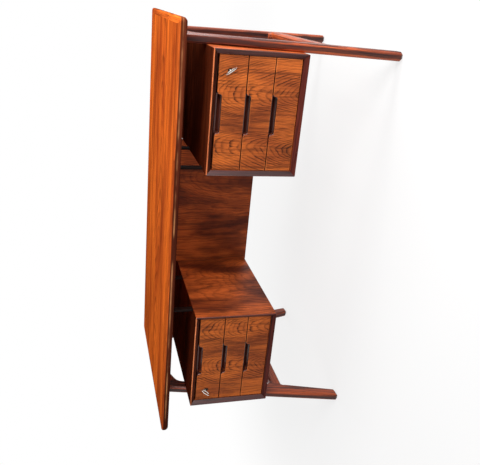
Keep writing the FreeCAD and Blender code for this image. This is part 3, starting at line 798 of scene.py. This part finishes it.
def keyAxis(side):
    turn = "key_{}_turn".format(side)
    joint = next(item for item in behaviour["joints"] if item["name"] == turn)
    return joint["pos_m"][0], joint["pos_m"][2]


# turned collar between the key's bow and shank: radius against distance from the bow's end, along the key
collar = {
    "sides": 32, "start": 0.0236,
    "profile": (
        (0.0022, 0.0), (0.0028, 0.0004), (0.0031, 0.0012), (0.0028, 0.002),
        (0.0024, 0.0024), (0.0027, 0.003), (0.0024, 0.0036), (0.0022, 0.0036),
    ),
}


def addCollar(side):
    axisX, axisZ = keyAxis(side)
    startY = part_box("lock_{}_key".format(side))[0].y + collar["start"]
    angles = [2 * math.pi * step / collar["sides"] for step in range(collar["sides"])]
    rows = [
        [(axisX + radius * math.cos(angle), startY + along, axisZ + radius * math.sin(angle)) for angle in angles]
        for radius, along in collar["profile"]
    ]
    addBand("keyCollar" + side.capitalize(), rows, "key_" + side, metals["keyNickel"])


# oval plate round the keyhole liner: drop is from the key's axis down to the plate's middle,
# the opening is a round eye over a straight slot, the rim gives shares of the oval and of the thickness
keyPlate = {
    "steps": 48, "halfWidth": 0.0058, "halfHeight": 0.0102, "thick": 0.0006, "drop": 0.00375,
    "eye": 0.00365, "slotHalf": 0.00245, "slotFoot": 0.01085,
    "rim": ((0.9, 1.0), (0.98, 0.7), (1.0, 0.25), (1.0, 0.0)),
}
leastAcross = 1e-9


# distance from the plate's middle to the edge of the opening
def holeReach(angle, shoulder):
    across, up = math.cos(angle), math.sin(angle)
    drop = keyPlate["drop"]
    if shoulder < angle < math.pi - shoulder:
        return up * drop + math.sqrt(keyPlate["eye"] ** 2 - (across * drop) ** 2)
    sideways = keyPlate["slotHalf"] / max(abs(across), leastAcross)
    return min(sideways, (keyPlate["slotFoot"] - drop) / -up) if up < 0 else sideways


def ovalReach(angle):
    return 1 / math.hypot(math.cos(angle) / keyPlate["halfWidth"], math.sin(angle) / keyPlate["halfHeight"])


def addKeyPlate(side):
    axisX, axisZ = keyAxis(side)
    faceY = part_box("drawer_{}_top_front".format(side))[0].y
    drop, half, thick = keyPlate["drop"], keyPlate["slotHalf"], keyPlate["thick"]
    middleZ = axisZ - drop
    shoulder = math.atan2(drop - math.sqrt(keyPlate["eye"] ** 2 - half ** 2), half)
    corner = math.atan2(keyPlate["slotFoot"] - drop, half)
    corners = [shoulder, math.pi - shoulder, math.pi + corner, 2 * math.pi - corner]
    even = [2 * math.pi * (step + 0.5) / keyPlate["steps"] for step in range(keyPlate["steps"])]
    angles = sorted(corners + even)
    hole = [holeReach(angle, shoulder) for angle in angles]
    oval = [ovalReach(angle) for angle in angles]
    outlines = [(hole, 0.0), (hole, thick)]
    outlines += [([reach * share for reach in oval], thick * lift) for share, lift in keyPlate["rim"]]
    rows = [
        [
            (axisX + reach * math.cos(angle), faceY - lift, middleZ + reach * math.sin(angle))
            for reach, angle in zip(outline, angles)
        ]
        for outline, lift in outlines
    ]
    name = "keyholePlate" + side.capitalize()
    addBand(name, rows, "drawer_{}_top".format(side), metals["plateBlack"])


for side in bothSides:
    addCollar(side)
    addKeyPlate(side)
print("key collars and keyhole plates set")

# camera: the desk stands upright, the picture is a quarter turn anticlockwise
view = {
    "lensPx": 556.2, "framePx": 480.0, "sensor": 36.0,
    "yaw": 23.37, "pitch": -15.07, "roll": 0.93, "place": (0.806, -2.048, 0.989),
}


def addCamera():
    data = bpy.data.cameras.new("deskCamera")
    data.sensor_width = view["sensor"]
    data.lens = view["lensPx"] / view["framePx"] * view["sensor"]
    turn = (
        Matrix.Rotation(math.radians(view["yaw"]), 3, "Z")
        @ Matrix.Rotation(math.radians(view["pitch"]), 3, "X")
        @ Matrix.Rotation(math.radians(view["roll"]), 3, "Y")
    )
    right, forward, up = turn.col[0], turn.col[1], turn.col[2]
    axes = Matrix((-up, right, -forward)).transposed()
    camera = bpy.data.objects.new("deskCamera", data)
    scene.collection.objects.link(camera)
    camera.matrix_world = Matrix.Translation(view["place"]) @ axes.to_4x4()
    scene.camera = camera


addCamera()
print("camera placed")

# studio: a pale floor that fades to white, a soft dome and five large lamps, most of them to the right
studio = {
    "dome": 0.36, "floorHalf": 40.0, "floorGrey": 0.8, "floorShare": 0.76, "fadeStart": 0.9, "fadeEnd": 2.6,
    "aim": (0.0, 0.0, 0.45),
}
lamps = {
    "keyLamp": {"place": (2.3, -1.9, 1.55), "size": 1.5, "power": 82.0},
    "sideLamp": {"place": (3.2, 0.0, 1.0), "size": 0.8, "power": 72.0},
    "topLamp": {"place": (1.2, -0.1, 2.1), "size": 1.0, "power": 18.0},
    "fillLamp": {"place": (-2.2, -3.2, 2.4), "size": 2.4, "power": 20.0},
    "backLamp": {"place": (-0.6, 3.4, 2.4), "size": 2.4, "power": 40.0},
}


def addLamp(name, lamp):
    data = bpy.data.lights.new(name, "AREA")
    data.size = lamp["size"]
    data.energy = lamp["power"]
    light = bpy.data.objects.new(name, data)
    scene.collection.objects.link(light)
    light.location = lamp["place"]
    aim = Vector(studio["aim"]) - Vector(lamp["place"])
    light.rotation_euler = aim.to_track_quat("-Z", "Y").to_euler()


def seenDirectly(tree):
    path = addNode(tree, "ShaderNodeLightPath").outputs
    seen = calc(tree, "MAXIMUM", path["Is Camera Ray"], path["Is Glossy Ray"])
    return calc(tree, "MAXIMUM", seen, path["Is Transmission Ray"])


def addDome():
    world = bpy.data.worlds.new("studioWorld")
    scene.world = world
    world.use_nodes = True
    tree = world.node_tree
    dome = tree.nodes["Background"].inputs
    dome["Color"].default_value = (1.0, 1.0, 1.0, 1.0)
    tree.links.new(between(tree, seenDirectly(tree), studio["dome"], 1.0), dome["Strength"])


def floorPaint():
    paint = bpy.data.materials.new("floorPaint")
    paint.use_nodes = True
    tree = paint.node_tree
    tree.nodes.remove(tree.nodes["Principled BSDF"])
    grey = studio["floorGrey"]
    matt = addNode(tree, "ShaderNodeBsdfDiffuse", {"Color": (grey, grey, grey, 1.0)}).outputs[0]
    glow = addNode(tree, "ShaderNodeEmission", {"Strength": 1.0}).outputs[0]
    coord = addNode(tree, "ShaderNodeTexCoord").outputs["Object"]
    away = addNode(tree, "ShaderNodeVectorMath", {0: coord}, operation="LENGTH").outputs["Value"]
    faded = smoothRange(tree, away, studio["fadeStart"], studio["fadeEnd"])
    share = times(tree, seenDirectly(tree), between(tree, faded, studio["floorShare"], 1.0))
    both = addNode(tree, "ShaderNodeMixShader", {0: share, 1: matt, 2: glow}).outputs[0]
    tree.links.new(both, tree.nodes["Material Output"].inputs["Surface"])
    return paint


def addFloor():
    half = studio["floorHalf"]
    corners = [(-half, -half, 0.0), (half, -half, 0.0), (half, half, 0.0), (-half, half, 0.0)]
    mesh = bpy.data.meshes.new("studioFloor")
    mesh.from_pydata(corners, [], [(0, 1, 2, 3)])
    mesh.materials.append(floorPaint())
    floor = bpy.data.objects.new("studioFloor", mesh)
    scene.collection.objects.link(floor)
    floor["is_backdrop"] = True


addDome()
addFloor()
for name, lamp in lamps.items():
    addLamp(name, lamp)
print("studio lit")

low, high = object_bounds()
